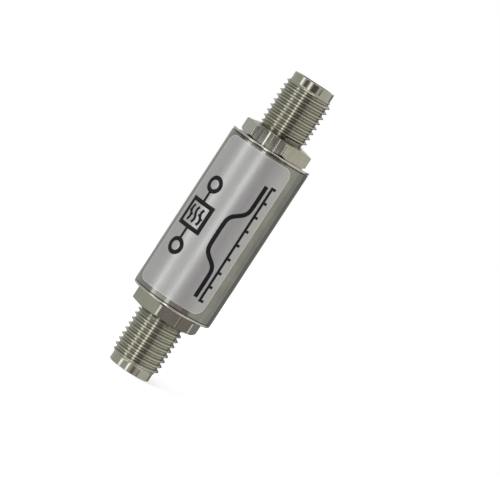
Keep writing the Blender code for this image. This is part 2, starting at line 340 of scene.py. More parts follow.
def threaded_rod(name, advance):
    """A right-hand thread between flat ends, with rounded crests and roots."""
    flank = thread_depth * thread_flank_slope
    first_crest = thread_start + (advance - 2) * thread_pitch + flank + thread_crest / 2
    turns = ceil((thread_end - thread_start) / thread_pitch) + 3
    section = [(radius, 0, first_crest + height) for radius, height in reversed(thread_profile())]
    line = drawn_line(name, section)
    apply_modifier(
        line, "SCREW", axis="Z", angle=tau, screw_offset=thread_pitch, iterations=turns,
        steps=THREAD_STEPS, render_steps=THREAD_STEPS, use_merge_vertices=False, use_normal_calculate=False,
    )
    rod = tidy_mesh(line)
    cut_flat(rod, thread_start, keep_above=True)
    cut_flat(rod, thread_end, keep_above=False)
    tidy_mesh(rod)
    beyond, run_out = 0.1 * MM, 0.2 * MM
    lead_in = thread_depth / thread_lead_in_slope
    envelope = turned(
        name + "_envelope",
        [
            (root_radius + thread_depth / 2 - beyond, thread_start - beyond),
            (thread_radius + beyond, thread_start + run_out + beyond),
            (thread_radius + beyond, thread_end - lead_in - beyond / thread_lead_in_slope),
            (root_radius - beyond * thread_lead_in_slope, thread_end + beyond),
        ],
        JACK_SIDES, solid=True,
    )
    return combine(rod, envelope, "INTERSECT")


def round_upright_edges(hexagon):
    """Rounds the six corners between the spanner flats."""
    take_up(hexagon)
    open_mesh("DESELECT")
    bpy.ops.mesh.select_mode(type="EDGE")
    close_mesh()
    for edge in hexagon.data.edges:
        first, second = (hexagon.data.vertices[index].co for index in edge.vertices)
        edge.select = (first - second).xy.length < small_edge
    bpy.ops.object.mode_set(mode="EDIT")
    bpy.ops.mesh.bevel(affect="EDGES", offset=hex_corner_reach, segments=6)
    bpy.ops.mesh.select_mode(type="VERT")
    close_mesh()


def chamfered_hexagon(name, corner_angle):
    """The spanner hexagon: milled flats with rounded corners, turned off at the front and at the seat."""
    corner_radius = hex_flat_radius / cos(pi / 6)
    outer = corner_radius - small_edge
    seat_rise = (outer - hex_seat_chamfer_radius) * tan(hex_seat_chamfer_angle)
    shoulder = outer - hex_shoulder_rounding
    drop = hex_shoulder_rounding + (shoulder - hex_front_land_radius) * sin(hex_front_chamfer_angle)
    shoulder_height = hex_height - drop / cos(hex_front_chamfer_angle)
    bpy.ops.mesh.primitive_cylinder_add(
        vertices=6, radius=corner_radius, depth=2 * hex_height, location=(0, 0, hex_height / 2),
        rotation=(0, 0, corner_angle - pi / 2),
    )
    hexagon = named(name)
    round_upright_edges(hexagon)
    blank = turned(
        name + "_blank",
        [
            (hex_seat_chamfer_radius, fit_gap),
            (outer, fit_gap + seat_rise),
            *arc((shoulder, shoulder_height), hex_shoulder_rounding, 0, pi / 2 - hex_front_chamfer_angle),
            (hex_front_land_radius, hex_height),
        ],
        BODY_SIDES, solid=True,
    )
    combine(hexagon, blank, "INTERSECT")
    return round_edges(hexagon, hex_edge_rounding, 4)


def turned_core(name):
    """The turned bar inside the thread: shank, relief groove and the smooth pilot with its rounded edges.

    The fillet starts a little inside the rod's end, because edges that coincide spoil the union.
    """
    rounded = arc((pilot_radius - pilot_rounding, jack_length - pilot_rounding), pilot_rounding, 0, pi / 2)
    step = root_radius - pilot_radius
    fillet = [
        (pilot_radius + step * (1 - sin(share * pi / 2)), thread_end + pilot_fillet * share)
        for share in (0.03, 0.15, 0.35, 0.6, 1)
    ]
    return turned(
        name,
        [
            (shank_radius - edge_bevel, -shank_length),
            (shank_radius, edge_bevel - shank_length),
            (shank_radius, hex_height / 2),
            (relief_radius, hex_height / 2),
            (relief_radius, thread_end - thread_pitch),
            (root_radius - fit_gap, thread_end - thread_pitch),
            *fillet,
            *rounded,
        ],
        JACK_SIDES, solid=True,
    )


def stepped_bore(name):
    """The cutter for the mouth and the insulator's bore."""
    bore = insulator_radius + fit_gap
    beyond = 0.5 * MM
    return turned(
        name,
        [
            (bore, -shank_length - beyond),
            (bore, reference_plane),
            (mouth_radius, reference_plane),
            (mouth_radius, jack_length - small_edge),
            (mouth_radius + small_edge, jack_length),
            (mouth_radius + small_edge, jack_length + beyond),
        ],
        JACK_SIDES, solid=True,
    )


def connector_shell(end):
    """A jack's metal body in one piece, with a milled finish on its hexagon's flats."""
    name = end + "_jack_body"
    corner_angle = (-1 if end == "lower" else 1) * (hex_turn[end] - pi / 2)
    shell = threaded_rod(name, thread_advance[end])
    combine(shell, turned_core(name + "_core"), "UNION")
    combine(shell, chamfered_hexagon(name + "_hexagon", corner_angle), "UNION")
    combine(shell, stepped_bore(name + "_bore"), "DIFFERENCE")
    tidy_mesh(shell)
    smooth(shell)
    put_in_place(shell, end)
    finish_piece(shell, [end + "_connector_shell"], "nickel_plating", turned_nickel, milled_nickel)
    for face in shell.data.polygons:
        upright = abs(face.normal.z) < 0.05 and face.center.xy.length > thread_radius + edge_bevel
        flat = upright and face.area > hex_flat_radius * hex_height / 4
        face.material_index = 1 if flat else 0


def insulator(end):
    """The white sleeve that shows behind the mouth."""
    hole = contact_radius + fit_gap
    sleeve = turned(
        end + "_mouth_insulator",
        [
            (hole, -shank_length),
            (insulator_radius, -shank_length),
            (insulator_radius, reference_plane - edge_bevel),
            (insulator_radius - edge_bevel, reference_plane),
            (hole + small_edge, reference_plane),
            (hole, reference_plane - small_edge),
        ],
        JACK_SIDES,
    )
    smooth(sleeve)
    put_in_place(sleeve, end)
    finish_piece(sleeve, [end + "_insulator"], "white_insulator", fluoropolymer)


def slotted_contact(end):
    """The centre contact: a socket with four spring fingers, and a solder tail."""
    tip = reference_plane - contact_recess
    contact = turned(
        end + "_socket_contact",
        [
            (tail_radius, -shank_length - tail_length),
            (tail_radius, -shank_length),
            (contact_radius, -shank_length),
            (contact_radius, tip),
        ],
        CONTACT_SIDES, solid=True,
    )
    round_edges(contact, small_edge, 3)
    socket = turned(
        end + "_socket_cutter",
        [
            (socket_radius / 4, tip - socket_depth - socket_radius / 2),
            (socket_radius, tip - socket_depth),
            (socket_radius, tip - small_edge),
            (socket_radius + small_edge, tip),
            (socket_radius + small_edge, tip + edge_bevel),
        ],
        CONTACT_SIDES, solid=True,
    )
    combine(contact, socket, "DIFFERENCE")
    for turn in (0, pi / 2):
        bpy.ops.mesh.primitive_cube_add(
            size=1, location=(0, 0, tip), rotation=(0, 0, turn),
            scale=(4 * contact_radius, slot_width, 2 * slot_depth),
        )
        combine(contact, named(end + "_slot_cutter"), "DIFFERENCE")
    tidy_mesh(contact)
    smooth(contact)
    put_in_place(contact, end)
    finish_piece(contact, [end + "_centre_contact"], "gold_plating", gold_plate)


# The housing

def end_cap(end):
    """The stepped disc whose rounded rim shows as a lip at the housing's end."""
    rim = cap_rim_rounding
    cap = turned(
        end + "_cap_rim",
        [
            (cap_hole_radius, -small_edge),
            (cap_hole_radius + small_edge, 0),
            *arc((body_radius - rim, -rim), rim, pi / 2, 0, 8),
            (body_radius, seam_bevel - cap_rim_thickness),
            (body_radius - seam_bevel, -cap_rim_thickness),
            (spigot_radius, -cap_rim_thickness),
            (spigot_radius, edge_bevel - cap_thickness),
            (spigot_radius - edge_bevel, -cap_thickness),
            (cap_hole_radius, -cap_thickness),
        ],
        BODY_SIDES,
    )
    smooth(cap)
    put_in_place(cap, end)
    finish_piece(cap, [end + "_end_cap"], "nickel_plating", highlighted_rim_nickel)


def housing():
    """The plain round sleeve, with the small bevels that make the dark seams."""
    tube = turned(
        "housing_sleeve",
        [
            (bore_radius, tube_low),
            *arc((body_radius - seam_bevel, tube_low + seam_bevel), seam_bevel, -pi / 2, 0),
            *arc((body_radius - seam_bevel, tube_high - seam_bevel), seam_bevel, 0, pi / 2),
            (bore_radius, tube_high),
        ],
        BODY_SIDES,
    )
    smooth(tube)
    finish_piece(tube, ["housing_tube"], "nickel_plating", shaded_housing_nickel)


# The label, laid out flat in front of the housing and then wrapped round it

def slice_for_wrapping(piece):
    """Cuts a flat piece into narrow strips, so that it can follow the curve."""
    take_up(piece)
    left = min(vertex.co.x for vertex in piece.data.vertices)
    right = max(vertex.co.x for vertex in piece.data.vertices)
    open_mesh()
    for number in range(ceil(left / label_step), ceil(right / label_step)):
        bpy.ops.mesh.select_all(action="SELECT")
        bpy.ops.mesh.bisect(plane_co=(number * label_step, 0, 0), plane_no=(1, 0, 0), threshold=MERGE)
    close_mesh()


def wrap_round_housing(piece, radius):
    """Bends a flat piece about the axis, so that its y = 0 comes to lie at the radius."""
    slice_for_wrapping(piece)
    across = [vertex.co.x for vertex in piece.data.vertices]
    apply_modifier(
        piece, "SIMPLE_DEFORM", deform_method="BEND", deform_axis="Z",
        angle=(max(across) - min(across)) / radius,
    )
    piece.location.y = -radius
    settle()
    tidy_mesh(piece)


def label_sheet():
    """The film, with its rounded corners and softened rim."""
    middle = (label_low + label_high) / 2
    bpy.ops.mesh.primitive_plane_add(size=1, location=(label_centre, 0, middle), rotation=(pi / 2, 0, 0))
    bpy.context.object.scale = (label_width, label_high - label_low, 1)
    sheet = named("label_sheet")
    open_mesh()
    bpy.ops.mesh.bevel(affect="VERTICES", offset=label_corner_radius, segments=12)
    bpy.ops.mesh.extrude_region_move(TRANSFORM_OT_translate={"value": (0, label_thickness, 0)})
    close_mesh()
    tidy_mesh(sheet)
    wrap_round_housing(sheet, label_surface)
    smooth(sheet)
    finish_piece(sheet, ["label"], "silver_foil", label_film)


def stroke(name, points, width, closed=False):
    """An inked line of a given width through (along, up) points of the flat label."""
    line = bpy.data.curves.new(name, "CURVE")
    line.dimensions = "2D"
    line.fill_mode = "NONE"
    spline = line.splines.new("POLY")
    spline.points.add(len(points) - 1)
    for point, (along, up) in zip(spline.points, points):
        point.co = (along, up, 0, 1)
    spline.use_cyclic_u = closed
    nib = bpy.data.curves.new(name + "_nib", "CURVE")
    nib.splines.new("POLY").points.add(1)
    for point, side in zip(nib.splines[0].points, (-0.5, 0.5)):
        point.co = (side * width, 0, 0, 1)
    nib_piece = bpy.data.objects.new(name + "_nib", nib)
    bpy.context.collection.objects.link(nib_piece)
    line.bevel_mode = "OBJECT"
    line.bevel_object = nib_piece
    piece = bpy.data.objects.new(name, line)
    bpy.context.collection.objects.link(piece)
    take_up(piece)
    bpy.ops.object.convert(target="MESH")
    bpy.data.objects.remove(nib_piece, do_unlink=True)
    piece = bpy.context.object
    apply_modifier(piece, "SOLIDIFY", thickness=ink_thickness, offset=1)
    return tidy_mesh(piece)


def ring_points(centre, radius, steps=40):
    """Points round a circle."""
    return arc(centre, radius, 0, tau * (steps - 1) / steps, steps - 1)


def schematic_marks():
    """The first row: two ports, wired to the filter block and its three waves between them."""
    row, half_block, port_radius = 1.75 * MM, 1.6 * MM, 0.85 * MM
    lower_port, block, upper_port = 15.8 * MM, 20.05 * MM, 24.2 * MM
    wave_reach, wave_height, wave_spacing, wave_steps = 1.0 * MM, 0.18 * MM, 0.8 * MM, 12
    slash_lean, slash_rise, slash_stroke = 0.22 * MM, 0.42 * MM, fine_stroke * 0.7
    marks = []
    for name, centre, side in (("lower", lower_port, 1), ("upper", upper_port, -1)):
        port = ring_points((centre, row), port_radius)
        marks.append(stroke(name + "_port", port, bold_stroke, closed=True))
        wire = [(centre + side * port_radius, row), (block - side * half_block, row)]
        marks.append(stroke(name + "_wire", wire, fine_stroke))
    corners = ((-1, -1), (1, -1), (1, 1), (-1, 1))
    block_outline = [(block + across * half_block, row + up * half_block) for across, up in corners]
    marks.append(stroke("block_frame", block_outline, bold_stroke, closed=True))
    for number in (-1, 0, 1):
        height = row + number * wave_spacing
        wave = [
            (block + wave_reach * step / wave_steps, height + wave_height * sin(pi * step / wave_steps))
            for step in range(-wave_steps, wave_steps + 1)
        ]
        marks.append(stroke(f"wave_{number + 1}", wave, fine_stroke))
        if number:
            slash = [(block - slash_lean, height - slash_rise), (block + slash_lean, height + slash_rise)]
            marks.append(stroke(f"slash_{number + 1}", slash, slash_stroke))
    return marks


def pass_band_marks():
    """The second row: a pass-band curve over a ticked axis."""
    start, end = 11.8 * MM, 27.6 * MM
    centre = (start + end) / 2
    floor, top, half_band, skirt = 0.75 * MM, 2.65 * MM, 3.0 * MM, 0.35 * MM
    ticks, tick_length, steps = 8, 0.55 * MM, 96
    marks = [stroke("axis", [(start, 0), (end, 0)], fine_stroke)]
    for number in range(ticks + 1):
        along = start + fine_stroke / 2 + (end - start - fine_stroke) * number / ticks
        marks.append(stroke(f"tick_{number}", [(along, 0), (along, -tick_length)], fine_stroke))
    curve = []
    for number in range(steps + 1):
        along = start + bold_stroke / 2 + (end - start - bold_stroke) * number / steps
        rise = 1 / (1 + exp((abs(along - centre) - half_band) / skirt))
        curve.append((along, floor + (top - floor) * rise))
    marks.append(stroke("pass_band", curve, bold_stroke))
    return marks


def printed_marks():
    """The ink on the label: generic circuit marks in two rows that read up the housing, wrapped round it."""
    first_row, second_row = -1.95 * MM, 2.55 * MM
    rows = (
        ("schematic_print", first_row, schematic_marks()),
        ("pass_band_print", second_row, pass_band_marks()),
    )
    for name, baseline, (row, *marks) in rows:
        for mark in marks:
            combine(row, mark, "UNION")
        row.name = name
        take_up(row)
        row.matrix_world = Matrix(((0, -1, 0, baseline), (0, 0, -1, 0), (1, 0, 0, 0), (0, 0, 0, 1)))
        settle()
        wrap_round_housing(row, label_surface + ink_lift)
        finish_piece(row, [], "silver_foil", print_ink)


# Finishes

# Places of the Mix node's colour sockets
FIRST_COLOUR, SECOND_COLOUR, MIXED_COLOUR = 6, 7, 2

hair_depth = 0.0006 * MM


def add_node(tree, kind, inputs=None, **settings):
    """A node with its settings, and its inputs linked or set."""
    node = tree.nodes.new(kind)
    for setting, value in settings.items():
        setattr(node, setting, value)
    for socket, value in (inputs or {}).items():
        if isinstance(value, bpy.types.NodeSocket):
            tree.links.new(value, node.inputs[socket])
        else:
            node.inputs[socket].default_value = value
    return node


def math(tree, operation, first, second=0.0, third=0.0):
    """The result of a Math node."""
    return add_node(tree, "ShaderNodeMath", {0: first, 1: second, 2: third}, operation=operation).outputs[0]


def vector(tree, *parts):
    """A vector of two or three parts."""
    return add_node(tree, "ShaderNodeCombineXYZ", dict(enumerate(parts))).outputs[0]


def length(tree, of):
    """The length of a vector."""
    return add_node(tree, "ShaderNodeVectorMath", {0: of}, operation="LENGTH").outputs["Value"]


def noise(tree, place, scale, detail, roughness=0.5):
    """Noise from 0 to 1 at a place."""
    inputs = {"Vector": place, "Scale": scale, "Detail": detail, "Roughness": roughness}
    return add_node(tree, "ShaderNodeTexNoise", inputs).outputs[0]


def ramp(tree, value, start, end, low=0.0, high=1.0, ease="LINEAR"):
    """Goes from low to high as a value goes from start to end, and no further."""
    inputs = {0: value, 1: start, 2: end, 3: low, 4: high}
    return add_node(tree, "ShaderNodeMapRange", inputs, interpolation_type=ease).outputs[0]


def between(tree, share, low, high):
    """A value between two, by a share."""
    return ramp(tree, share, 0.0, 1.0, low, high)


def mix_colours(tree, share, first, second):
    """A colour between two, by a share."""
    inputs = {0: share}
    for socket, value in ((FIRST_COLOUR, first), (SECOND_COLOUR, second)):
        inputs[socket] = value if isinstance(value, bpy.types.NodeSocket) else (*value, 1)
    return add_node(tree, "ShaderNodeMix", inputs, data_type="RGBA").outputs[MIXED_COLOUR]


def object_place(tree):
    """The place on the object, whole and split into x, y and z."""
    place = add_node(tree, "ShaderNodeTexCoord").outputs["Object"]
    return place, add_node(tree, "ShaderNodeSeparateXYZ", {0: place}).outputs


def from_axis(tree, parts):
    """The distance from the filter's axis."""
    return length(tree, vector(tree, parts[0], parts[1]))


def new_group(name, inputs, output):
    """An empty shader group with float inputs that have defaults, and one float output."""
    group = bpy.data.node_groups.new(name, "ShaderNodeTree")
    for socket, value in inputs.items():
        added = group.interface.new_socket(socket, in_out="INPUT", socket_type="NodeSocketFloat")
        added.default_value = value
    group.interface.new_socket(output, in_out="OUTPUT", socket_type="NodeSocketFloat")
    return group, group.nodes.new("NodeGroupInput").outputs


def put_out(group, value):
    """Ends a group with the value that it puts out."""
    group.links.new(value, group.nodes.new("NodeGroupOutput").inputs[0])
    return group


def lathe_marks_group():
    """Fine rings round the axis, as a lathe tool leaves on walls and faces alike."""
    group, given = new_group("lathe marks", {"Lines per mm": 14.0, "Wander": 0.02}, "Height")
    _, parts = object_place(group)
    wander = math(group, "MULTIPLY", parts[1], given["Wander"])
    rings = vector(group, from_axis(group, parts), wander, parts[2])
    return put_out(group, noise(group, rings, math(group, "DIVIDE", given["Lines per mm"], MM), 2.0))


def mill_marks_group():
    """Streaks along the axis, as a side mill leaves on a hexagon's flats."""
    group, given = new_group("mill marks", {"Lines per mm": 2.0, "Drift": 0.006}, "Height")
    _, parts = object_place(group)
    streaks = vector(group, parts[0], parts[1], math(group, "MULTIPLY", parts[2], given["Drift"]))
    return put_out(group, noise(group, streaks, math(group, "DIVIDE", given["Lines per mm"], MM), 1.0, 0.6))


def mottle_group():
    """Soft cloudy patches, from 0 to 1."""
    group, given = new_group("mottle", {"Patch mm": 1.0, "Contrast": 1.0}, "Patches")
    place, _ = object_place(group)
    clouds = noise(group, place, math(group, "DIVIDE", 1 / MM, given["Patch mm"]), 5.0)
    centred = math(group, "SUBTRACT", clouds, 0.5)
    patches = math(group, "MULTIPLY_ADD", centred, given["Contrast"], 0.5)
    return put_out(group, add_node(group, "ShaderNodeClamp", {0: patches}).outputs[0])


def reach_group():
    """A mask that goes from 0 to 1 with the distance from the axis, broken up a little."""
    group, given = new_group("reach from axis", {"From mm": 2.7, "To mm": 3.1, "Break up": 0.1}, "Mask")
    place, parts = object_place(group)
    shift = math(group, "SUBTRACT", noise(group, place, 4 / MM, 3.0), 0.5)
    distance = math(group, "DIVIDE", from_axis(group, parts), MM)
    shifted = math(group, "MULTIPLY_ADD", shift, given["Break up"], distance)
    return put_out(group, ramp(group, shifted, given["From mm"], given["To mm"], ease="SMOOTHSTEP"))


def scratches_group():
    """Sparse hair scratches that run along a leaning direction."""
    group, given = new_group("hair scratches", {"Lean": 0.4, "Sparse": 0.66}, "Mask")
    place, _ = object_place(group)
    across, along, softness = 9 / MM, 0.22 / MM, 0.06
    turn = vector(group, given["Lean"], given["Lean"])
    leaned = add_node(
        group, "ShaderNodeMapping", {"Vector": place, "Rotation": turn, "Scale": (across, across, along)}
    ).outputs[0]
    top = math(group, "ADD", given["Sparse"], softness)
    return put_out(group, ramp(group, noise(group, leaned, 1.0, 1.0), given["Sparse"], top))


def seam_shade_group():
    """A mask of the painted shade in the seams between the tube and its caps."""
    group, given = new_group("painted seam shade", {"Full mm": 0.03, "Gone mm": 0.09}, "Mask")
    _, parts = object_place(group)
    from_middle = math(group, "ABSOLUTE", math(group, "SUBTRACT", parts[2], object_middle))
    from_seam = math(group, "ABSOLUTE", math(group, "SUBTRACT", from_middle, (tube_high - tube_low) / 2))
    distance = math(group, "DIVIDE", from_seam, MM)
    return put_out(group, ramp(group, distance, given["Full mm"], given["Gone mm"], 1.0, 0.0, "SMOOTHSTEP"))


lathe_marks = lathe_marks_group()
mill_marks = mill_marks_group()
mottle = mottle_group()
reach = reach_group()
scratches = scratches_group()
seam_shade = seam_shade_group()


def use_group(tree, group, **values):
    """A group placed in a material with its own values; spaces in socket names are underscores here."""
    node = add_node(tree, "ShaderNodeGroup", node_tree=group)
    for socket, value in values.items():
        node.inputs[socket.replace("_", " ")].default_value = value
    return node.outputs[0]


def new_finish(name, metallic, **sockets):
    """A material with its shader's uniform values set; spaces in socket names are underscores here."""
    finish = bpy.data.materials.new(name)
    finish.use_nodes = True
    tree = finish.node_tree
    shader = tree.nodes["Principled BSDF"]
    shader.inputs["Metallic"].default_value = metallic
    for socket, value in sockets.items():
        shader.inputs[socket.replace("_", " ")].default_value = value
    return finish, tree, shader


def link(tree, source, shader, socket):
    """Feeds one of the shader's sockets."""
    tree.links.new(source, shader.inputs[socket])


def add_bump(tree, shader, *layers):
    """Feeds the shader's normal from bump layers of (height, depth in metres)."""
    normal = None
    for height, depth in layers:
        inputs = {"Height": height, "Distance": depth, "Strength": 1.0}
        if normal:
            inputs["Normal"] = normal
        normal = add_node(tree, "ShaderNodeBump", inputs).outputs[0]
    link(tree, normal, shader, "Normal")


def nickel_finish(name, colour, dull, roughness, patch, marks, depth):
    """Nickel plating with duller patches, hair scratches and a tool's marks; its colour isn't linked yet."""
    finish, tree, shader = new_finish(name, 1.0)
    patches = use_group(tree, mottle, Patch_mm=patch, Contrast=2.4)
    hair = use_group(tree, scratches)
    rough = between(tree, patches, roughness * 0.8, roughness * 1.3)
    link(tree, math(tree, "MULTIPLY_ADD", hair, 0.12, rough), shader, "Roughness")
    add_bump(tree, shader, (use_group(tree, marks), depth), (hair, -hair_depth))
    return finish, tree, shader, mix_colours(tree, patches, colour, dull)


def threaded_nickel_finish():
    """The jacks' turned surfaces: painted shade on the thread flanks and in the neck, less of it in the
    roots, painted highlights on the crests and a painted shadow at the seat.
    """
    finish, tree, shader, plated = nickel_finish(
        "turned nickel", (0.67, 0.663, 0.56), (0.59, 0.583, 0.48), 0.10, 0.9, lathe_marks, 0.0009 * MM
    )
    # Painted light: a dark colour for painted shade, a light one for painted highlights on the crests, and
    # one for the painted shadow at the seat
    painted_shade_colour, crest_highlight_colour, seat_shadow_colour = (0.27, 0.26, 0.23), (0.74, 0.73, 0.63), (0.47, 0.46, 0.40)
    # How much painted shade falls on the lower and upper flanks and in the neck, and how much of it the roots
    # lose
    lower_flank_shade, upper_flank_shade, neck_shade, root_shade_loss = 0.52, 0.66, 0.66, 0.75
    neck_start = jack_length - hex_height - relief_length
    _, parts = object_place(tree)
    middle = math(tree, "SUBTRACT", parts[2], object_middle)
    from_end = math(tree, "SUBTRACT", object_middle, math(tree, "ABSOLUTE", middle))
    on_thread = ramp(tree, from_end, pilot_length, pilot_length + 0.15 * MM)
    crest = use_group(tree, reach, From_mm=2.76, To_mm=3.05)
    off_neck = use_group(tree, reach, From_mm=2.70, To_mm=2.73, Break_up=0.0)
    off_root = use_group(tree, reach, From_mm=2.75, To_mm=2.80, Break_up=0.0)
    root = math(tree, "SUBTRACT", off_neck, off_root)
    shaded = math(tree, "MULTIPLY", math(tree, "SUBTRACT", 1.0, crest), on_thread)
    shaded = math(tree, "MULTIPLY", shaded, math(tree, "MULTIPLY_ADD", root, -root_shade_loss, 1.0))
    on_flanks = between(tree, math(tree, "GREATER_THAN", middle, 0.0), lower_flank_shade, upper_flank_shade)
    strength = ramp(tree, from_end, neck_start - thread_pitch, neck_start, on_flanks, neck_shade)
    painted_tone = mix_colours(tree, math(tree, "MULTIPLY", shaded, strength), plated, painted_shade_colour)
    # Painted highlights along the crests
    crest_highlight = math(tree, "MULTIPLY", use_group(tree, reach, From_mm=2.96, To_mm=3.1), on_thread)
    painted_tone = mix_colours(tree, crest_highlight, painted_tone, crest_highlight_colour)
    # Painted shadow in the gap where the hexagon's seat meets the end cap
    seat = ramp(tree, from_end, jack_length - 0.3 * MM, jack_length - 0.12 * MM)
    link(tree, mix_colours(tree, seat, painted_tone, seat_shadow_colour), shader, "Base Color")
    return finish


def milled_nickel_finish():
    """The hexagons' milled flats: cutter marks, and duller streaks along the axis which are partly a painted
    reflection.
    """
    finish, tree, shader, plated = nickel_finish(
        "milled nickel", (0.69, 0.677, 0.58), (0.62, 0.605, 0.50), 0.08, 1.4, mill_marks, 0.05 * MM
    )
    # The streaks' colour partly paints the streaked reflection of the flats, as well as the milled grain
    streak_share = 0.25
    marks = use_group(tree, mill_marks, Lines_per_mm=3.4, Drift=0.004)
    streaks = math(tree, "MULTIPLY", ramp(tree, marks, 0.42, 0.62), streak_share)
    link(tree, mix_colours(tree, streaks, plated, (0.50, 0.485, 0.42)), shader, "Base Color")
    return finish


def seamed_nickel_finish(name, colour, dull, roughness, patch):
    """Turned nickel of the housing, with painted shade in the seams between tube and caps."""
    finish, tree, shader, plated = nickel_finish(
        name, colour, dull, roughness, patch, lathe_marks, 0.0007 * MM
    )
    # Painted shade: the seams darken towards near black
    seam_shade_share = 0.65
    seam_darkening = math(tree, "MULTIPLY", use_group(tree, seam_shade), seam_shade_share)
    link(tree, mix_colours(tree, seam_darkening, plated, (0.07, 0.07, 0.06)), shader, "Base Color")
    return finish


def label_film_finish():
    """Satin silver film: faint long grain, smudges and a painted highlight along its cut edge."""
    finish, tree, shader = new_finish("silver label film", 0.71, Coat_Weight=0.1, Coat_Roughness=0.15)
    smudges = use_group(tree, mottle, Patch_mm=2.6, Contrast=1.8)
    hair = use_group(tree, scratches, Lean=0.15, Sparse=0.68)
    film = mix_colours(tree, smudges, (0.635, 0.64, 0.625), (0.60, 0.595, 0.595))
    # Painted highlight: a lighter band along the rounded cut edge, where it catches the light
    edge_start, edge_full, edge_highlight_share = 0.22 * MM, 0.08 * MM, 0.45
    _, parts = object_place(tree)
    angle = math(tree, "ARCTAN2", parts[0], math(tree, "MULTIPLY", parts[1], -1.0))
    across = math(tree, "ABSOLUTE", math(tree, "SUBTRACT", angle, label_turn))
    up = math(tree, "ABSOLUTE", math(tree, "SUBTRACT", parts[2], (label_low + label_high) / 2))
    insets = (
        math(tree, "SUBTRACT", label_width / 2, math(tree, "MULTIPLY", across, label_surface)),
        math(tree, "SUBTRACT", (label_high - label_low) / 2, up),
    )
    corner = [math(tree, "SUBTRACT", label_corner_radius, inset) for inset in insets]
    corner = [math(tree, "MAXIMUM", part, 0.0) for part in corner]
    rim = ramp(
        tree, length(tree, vector(tree, *corner)), label_corner_radius - edge_start,
        label_corner_radius - edge_full, ease="SMOOTHSTEP",
    )
    highlighted_film = mix_colours(tree, math(tree, "MULTIPLY", rim, edge_highlight_share), film, (0.86, 0.86, 0.85))
    link(tree, highlighted_film, shader, "Base Color")
    rough = between(tree, smudges, 0.27, 0.34)
    link(tree, math(tree, "MULTIPLY_ADD", hair, -0.05, rough), shader, "Roughness")
    grain = use_group(tree, lathe_marks, Lines_per_mm=9.0, Wander=0.3)
    add_bump(tree, shader, (grain, 0.0006 * MM), (hair, -0.0004 * MM))
    return finish


def print_ink_finish():
    """Dense black ink with a little unevenness."""
    finish, tree, shader = new_finish("black ink", 0.0, Specular_IOR_Level=0.25)
    patches = use_group(tree, mottle, Patch_mm=0.35, Contrast=2.5)
    link(tree, mix_colours(tree, patches, (0.005, 0.005, 0.006), (0.012, 0.012, 0.014)), shader, "Base Color")
    link(tree, between(tree, patches, 0.45, 0.6), shader, "Roughness")
    add_bump(tree, shader, (patches, 0.001 * MM))
    return finish


def spotted_finish(name, colour, shade, roughness, patch, depth=None, metallic=0.0, contrast=2.0, **sockets):
    """A finish of soft patches between two colours, which stand out a little if they have a depth."""
    finish, tree, shader = new_finish(name, metallic, **sockets)
    patches = use_group(tree, mottle, Patch_mm=patch, Contrast=contrast)
    link(tree, mix_colours(tree, patches, colour, shade), shader, "Base Color")
    link(tree, between(tree, patches, roughness * 0.85, roughness * 1.15), shader, "Roughness")
    if depth:
        add_bump(tree, shader, (patches, depth))
    return finish, tree, shader


def ringed_finish(name, colour, shade, roughness, patch, rings_per_mm, ring_depth, **settings):
    """A spotted finish with the rings that turning leaves."""
    finish, tree, shader = spotted_finish(name, colour, shade, roughness, patch, **settings)
    rings = use_group(tree, lathe_marks, Lines_per_mm=rings_per_mm)
    add_bump(tree, shader, (rings, ring_depth))
    return finish


def laminate_finish():
    """Green solder mask, with the weave of the glass cloth faint beneath it."""
    finish, tree, shader = spotted_finish(
        "green laminate", (0.035, 0.15, 0.06), (0.05, 0.20, 0.08), 0.3, 1.5, Coat_Weight=0.3
    )
    weave_spacing, weave_depth = 0.45 * MM, 0.004 * MM
    _, parts = object_place(tree)
    threads = []
    for part in (parts[0], parts[2]):
        wave = math(tree, "SINE", math(tree, "MULTIPLY", part, pi / weave_spacing))
        threads.append(math(tree, "ABSOLUTE", wave))
    add_bump(tree, shader, (math(tree, "MAXIMUM", *threads), weave_depth))
    return finish


turned_nickel = threaded_nickel_finish()
milled_nickel = milled_nickel_finish()
# Painted light: the housing's nickel is darker than the jacks' as painted shade, and the caps' rim nickel far
# lighter as a painted highlight on the lips; all are the same plating
shaded_housing_nickel = seamed_nickel_finish("shaded housing nickel", (0.47, 0.47, 0.41), (0.37, 0.37, 0.325), 0.125, 2.2)
highlighted_rim_nickel = seamed_nickel_finish("highlighted rim nickel", (0.86, 0.85, 0.77), (0.73, 0.72, 0.64), 0.10, 1.2)
label_film = label_film_finish()
print_ink = print_ink_finish()
fluoropolymer = ringed_finish(
    "white fluoropolymer", (0.86, 0.86, 0.84), (0.80, 0.80, 0.77), 0.42, 0.6, 7.0, 0.002 * MM,
    Subsurface_Weight=0.25, Subsurface_Scale=0.0004,
)
gold_plate = ringed_finish(
    "gold plate", (0.90, 0.66, 0.26), (0.80, 0.54, 0.20), 0.16, 0.5, 18.0, 0.0008 * MM, metallic=1.0
)
green_laminate = laminate_finish()
tinned_copper, _, _ = spotted_finish(
    "tinned copper", (0.74, 0.70, 0.64), (0.72, 0.50, 0.33), 0.32, 0.8, 0.002 * MM, metallic=1.0, contrast=3.5
)
fired_ceramic, _, _ = spotted_finish(
    "fired ceramic", (0.62, 0.58, 0.52), (0.50, 0.45, 0.38), 0.55, 0.15, 0.003 * MM
)
ferrite, _, _ = spotted_finish("ferrite", (0.045, 0.045, 0.05), (0.085, 0.08, 0.085), 0.6, 0.12, 0.004 * MM)
bright_solder, _, _ = spotted_finish(
    "bright solder", (0.66, 0.66, 0.68), (0.50, 0.50, 0.52), 0.28, 0.4, 0.006 * MM, metallic=1.0
)


